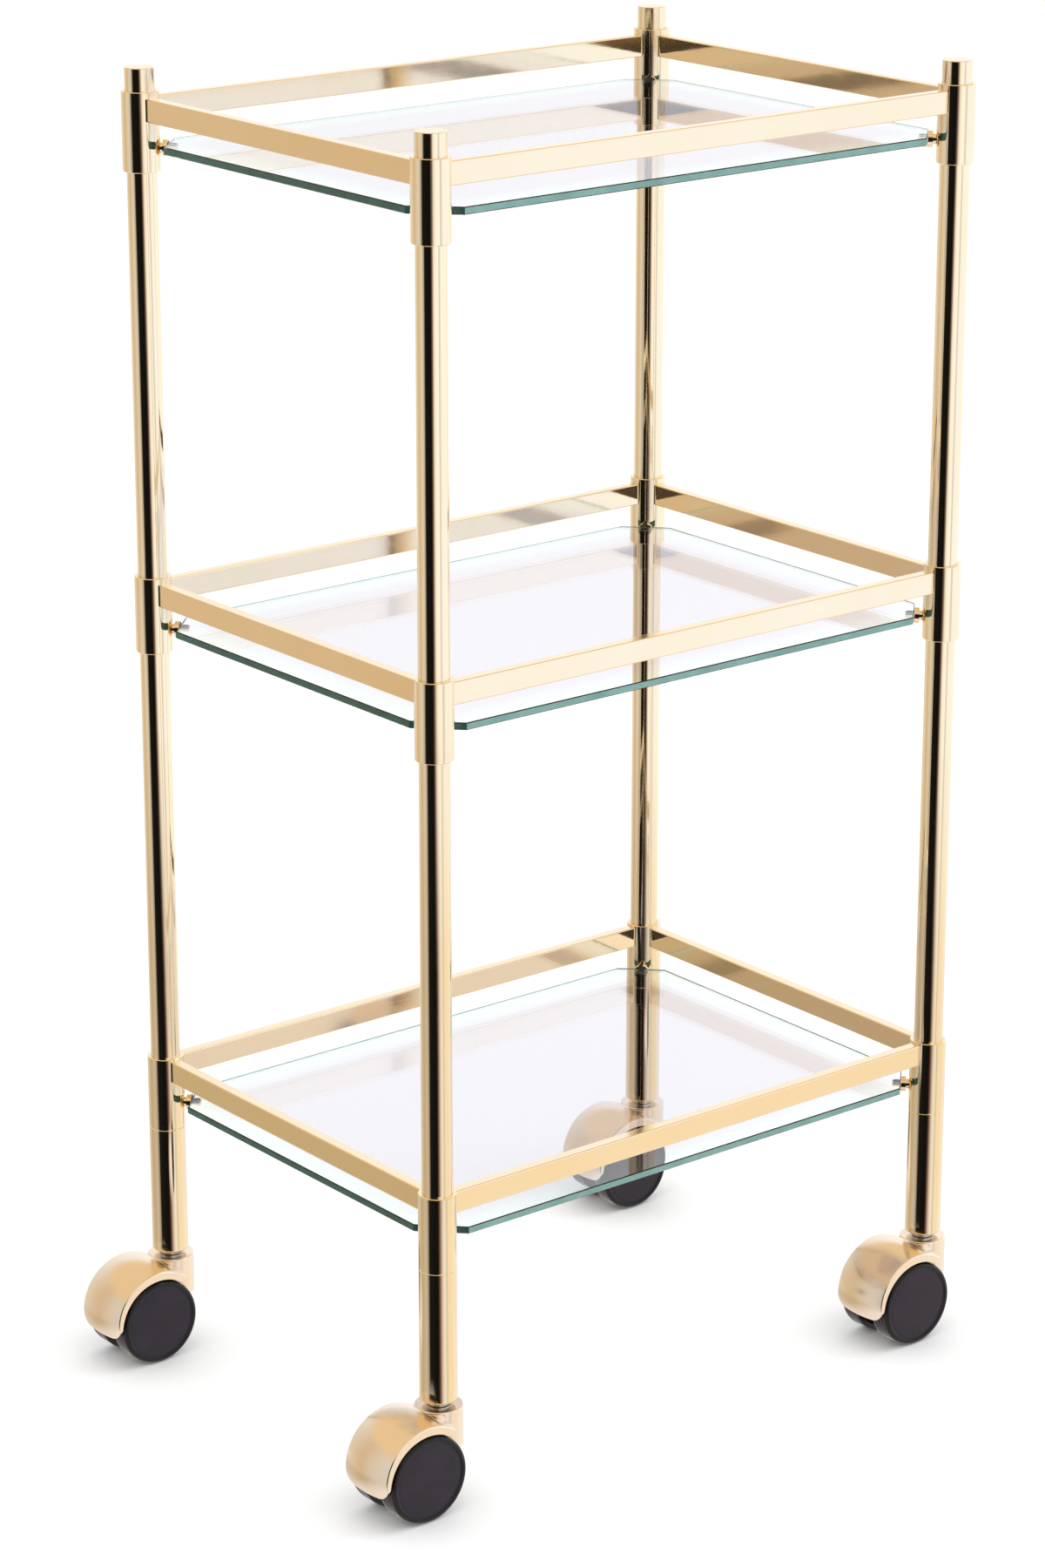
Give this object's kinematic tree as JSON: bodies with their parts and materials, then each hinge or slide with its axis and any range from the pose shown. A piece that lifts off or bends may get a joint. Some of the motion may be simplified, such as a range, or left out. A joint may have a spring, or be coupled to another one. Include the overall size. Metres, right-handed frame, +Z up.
{
  "type": "bar cart",
  "caption": "Slim bar cart with clear glass shelves hung inside gold rail frames, on round posts with hooded twin-wheel swivel casters.",
  "frame": {"origin": "on the floor, under the middle of the outer box with the casters trailing to -X", "axes": "+Z up, +X along the long side, away from the trailing casters, +Y to the back"},
  "size_m": [0.508, 0.353, 0.895],
  "materials": {
    "gold_tube": "mirror-polished warm gold plating on steel tube",
    "gold_bar": "polished warm gold plating on flat steel bar",
    "gold_fitting": "polished gold plating on turned steel",
    "gold_hood": "satin-polished champagne gold plating on a casting",
    "clear_glass": "clear tempered glass with green polished edges",
    "soft_pad": "soft black rubber",
    "plain_steel": "bright zinc-plated steel",
    "black_wheel": "black nylon, satin face and polished tread"
  },
  "bodies": {
    "frame": {"post_front_left": "gold_tube", "leg_front_left": "gold_tube", "collar_bottom_front_left": "gold_tube", "collar_middle_front_left": "gold_tube", "collar_top_front_left": "gold_tube", "post_front_right": "gold_tube", "leg_front_right": "gold_tube", "collar_bottom_front_right": "gold_tube", "collar_middle_front_right": "gold_tube", "collar_top_front_right": "gold_tube", "post_back_left": "gold_tube", "leg_back_left": "gold_tube", "collar_bottom_back_left": "gold_tube", "collar_middle_back_left": "gold_tube", "collar_top_back_left": "gold_tube", "post_back_right": "gold_tube", "leg_back_right": "gold_tube", "collar_bottom_back_right": "gold_tube", "collar_middle_back_right": "gold_tube", "collar_top_back_right": "gold_tube", "rail_bottom_front": "gold_bar", "rail_bottom_back": "gold_bar", "rail_bottom_left": "gold_bar", "rail_bottom_right": "gold_bar", "glass_shelf_bottom": "clear_glass", "glass_studs_bottom": "gold_fitting", "rail_middle_front": "gold_bar", "rail_middle_back": "gold_bar", "rail_middle_left": "gold_bar", "rail_middle_right": "gold_bar", "glass_shelf_middle": "clear_glass", "glass_studs_middle": "gold_fitting", "rail_top_front": "gold_bar", "rail_top_back": "gold_bar", "rail_top_left": "gold_bar", "rail_top_right": "gold_bar", "glass_shelf_top": "clear_glass", "glass_studs_top": "gold_fitting", "post_caps": "gold_fitting", "stud_nuts": "plain_steel", "glass_pads": "soft_pad", "leg_inserts": "plain_steel", "caster_stems": "plain_steel", "stem_clips": "plain_steel"},
    "caster_front_left": {"caster_hood_front_left": "gold_hood", "axle_front_left": "plain_steel"},
    "wheel_body_front_left_outer": {"wheel_front_left_outer": "black_wheel"},
    "wheel_body_front_left_inner": {"wheel_front_left_inner": "black_wheel"},
    "caster_front_right": {"caster_hood_front_right": "gold_hood", "axle_front_right": "plain_steel"},
    "wheel_body_front_right_outer": {"wheel_front_right_outer": "black_wheel"},
    "wheel_body_front_right_inner": {"wheel_front_right_inner": "black_wheel"},
    "caster_back_left": {"caster_hood_back_left": "gold_hood", "axle_back_left": "plain_steel"},
    "wheel_body_back_left_outer": {"wheel_back_left_outer": "black_wheel"},
    "wheel_body_back_left_inner": {"wheel_back_left_inner": "black_wheel"},
    "caster_back_right": {"caster_hood_back_right": "gold_hood", "axle_back_right": "plain_steel"},
    "wheel_body_back_right_outer": {"wheel_back_right_outer": "black_wheel"},
    "wheel_body_back_right_inner": {"wheel_back_right_inner": "black_wheel"}
  },
  "joints": [
    {"name": "swivel_front_left", "type": "hinge", "parent": "frame", "child": "caster_front_left", "pos_m": [-0.192, -0.153, 0.052], "axis": [0, 0, 1], "continuous": true},
    {"name": "spin_front_left_outer", "type": "hinge", "parent": "caster_front_left", "child": "wheel_body_front_left_outer", "pos_m": [-0.217, -0.153, 0.03], "axis": [0, 1, 0], "continuous": true},
    {"name": "spin_front_left_inner", "type": "hinge", "parent": "caster_front_left", "child": "wheel_body_front_left_inner", "pos_m": [-0.217, -0.153, 0.03], "axis": [0, 1, 0], "continuous": true},
    {"name": "swivel_front_right", "type": "hinge", "parent": "frame", "child": "caster_front_right", "pos_m": [0.238, -0.153, 0.052], "axis": [0, 0, 1], "continuous": true},
    {"name": "spin_front_right_outer", "type": "hinge", "parent": "caster_front_right", "child": "wheel_body_front_right_outer", "pos_m": [0.213, -0.153, 0.03], "axis": [0, 1, 0], "continuous": true},
    {"name": "spin_front_right_inner", "type": "hinge", "parent": "caster_front_right", "child": "wheel_body_front_right_inner", "pos_m": [0.213, -0.153, 0.03], "axis": [0, 1, 0], "continuous": true},
    {"name": "swivel_back_left", "type": "hinge", "parent": "frame", "child": "caster_back_left", "pos_m": [-0.192, 0.153, 0.052], "axis": [0, 0, 1], "continuous": true},
    {"name": "spin_back_left_outer", "type": "hinge", "parent": "caster_back_left", "child": "wheel_body_back_left_outer", "pos_m": [-0.217, 0.153, 0.03], "axis": [0, 1, 0], "continuous": true},
    {"name": "spin_back_left_inner", "type": "hinge", "parent": "caster_back_left", "child": "wheel_body_back_left_inner", "pos_m": [-0.217, 0.153, 0.03], "axis": [0, 1, 0], "continuous": true},
    {"name": "swivel_back_right", "type": "hinge", "parent": "frame", "child": "caster_back_right", "pos_m": [0.238, 0.153, 0.052], "axis": [0, 0, 1], "continuous": true},
    {"name": "spin_back_right_outer", "type": "hinge", "parent": "caster_back_right", "child": "wheel_body_back_right_outer", "pos_m": [0.213, 0.153, 0.03], "axis": [0, 1, 0], "continuous": true},
    {"name": "spin_back_right_inner", "type": "hinge", "parent": "caster_back_right", "child": "wheel_body_back_right_inner", "pos_m": [0.213, 0.153, 0.03], "axis": [0, 1, 0], "continuous": true}
  ]
}
